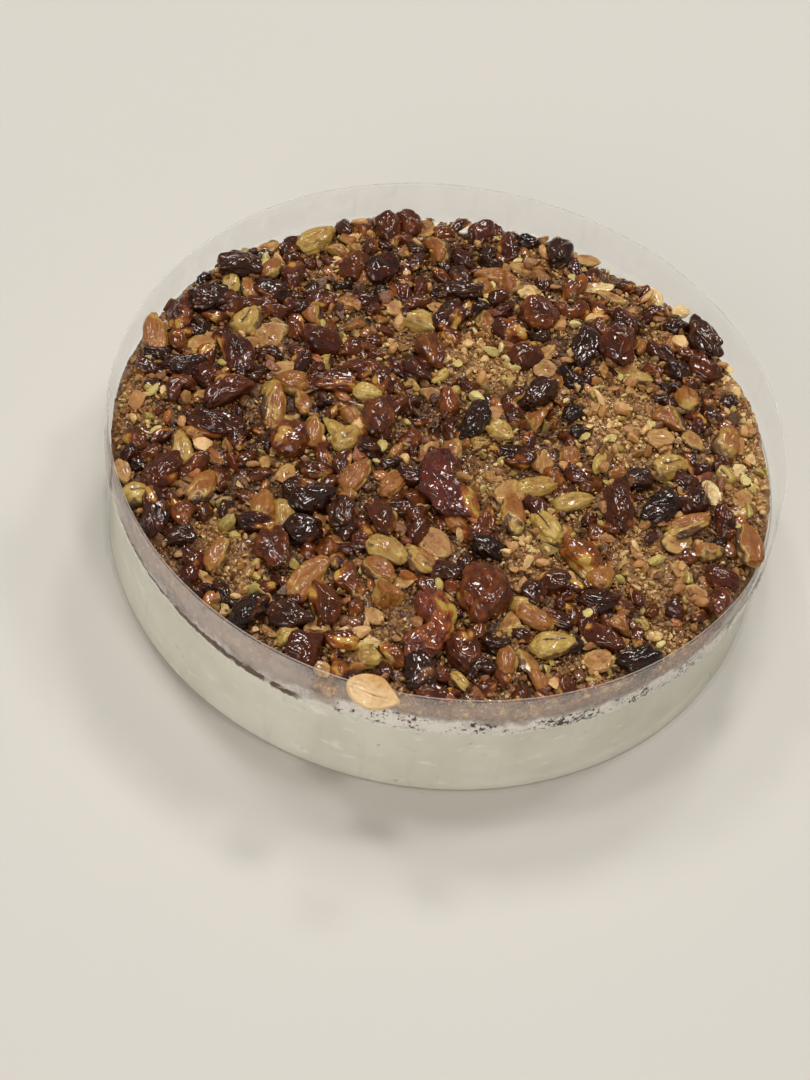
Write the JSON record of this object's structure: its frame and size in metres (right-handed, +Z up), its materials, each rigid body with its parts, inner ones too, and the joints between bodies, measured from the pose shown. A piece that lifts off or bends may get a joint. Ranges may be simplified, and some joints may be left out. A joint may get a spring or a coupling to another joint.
{
  "type": "mastic pistachio cake",
  "caption": "Low round mastic ice cream cake in a clear film collar, topped with chopped nuts, pistachios, roasted kernels and caramel-glazed nuts.",
  "frame": {"origin": "centre of the cream's flat underside, which is also the centre of the film collar's foot", "axes": "+Z up through the cake's middle, -Y towards the viewer of the picture, +X to the right"},
  "size_m": [0.2003, 0.2062, 0.0502],
  "materials": {
    "cream": "smooth cream, satin",
    "film": "clear film, glossy",
    "crumbs": "rough chopped nuts",
    "hooked_glazed": "wet glaze",
    "dark_glazed": "wet glaze",
    "red_glazed": "wet glaze",
    "amber_glazed": "wet glaze",
    "roasted_kernel": "roasted, satin",
    "green_kernel": "satin",
    "split_half": "matt"
  },
  "bodies": {
    "root": {"amber_glazed_01": "amber_glazed", "amber_glazed_02": "amber_glazed", "amber_glazed_03": "amber_glazed", "cream_cake": "cream", "dark_glazed_01": "dark_glazed", "dark_glazed_02": "dark_glazed", "dark_glazed_03": "dark_glazed", "dark_glazed_04": "dark_glazed", "dark_glazed_05": "dark_glazed", "dark_glazed_06": "dark_glazed", "dark_glazed_07": "dark_glazed", "dark_glazed_08": "dark_glazed", "dark_glazed_09": "dark_glazed", "dark_glazed_10": "dark_glazed", "dark_glazed_11": "dark_glazed", "film_collar": "film", "green_kernel_01": "green_kernel", "green_kernel_02": "green_kernel", "hooked_glazed_01": "hooked_glazed", "hooked_glazed_02": "hooked_glazed", "nut_topping": "crumbs", "red_glazed_01": "red_glazed", "red_glazed_02": "red_glazed", "red_glazed_03": "red_glazed", "red_glazed_04": "red_glazed", "red_glazed_05": "red_glazed", "red_glazed_06": "red_glazed", "red_glazed_07": "red_glazed", "red_glazed_08": "red_glazed", "red_glazed_09": "red_glazed", "red_glazed_10": "red_glazed", "red_glazed_11": "red_glazed", "red_glazed_12": "red_glazed", "red_glazed_13": "red_glazed", "roasted_kernel_01": "roasted_kernel", "roasted_kernel_02": "roasted_kernel", "roasted_kernel_03": "roasted_kernel", "roasted_kernel_04": "roasted_kernel", "roasted_kernel_05": "roasted_kernel", "roasted_kernel_06": "roasted_kernel", "roasted_kernel_07": "roasted_kernel", "roasted_kernel_08": "roasted_kernel", "roasted_kernel_09": "roasted_kernel", "split_half_rim": "split_half"}
  },
  "joints": []
}
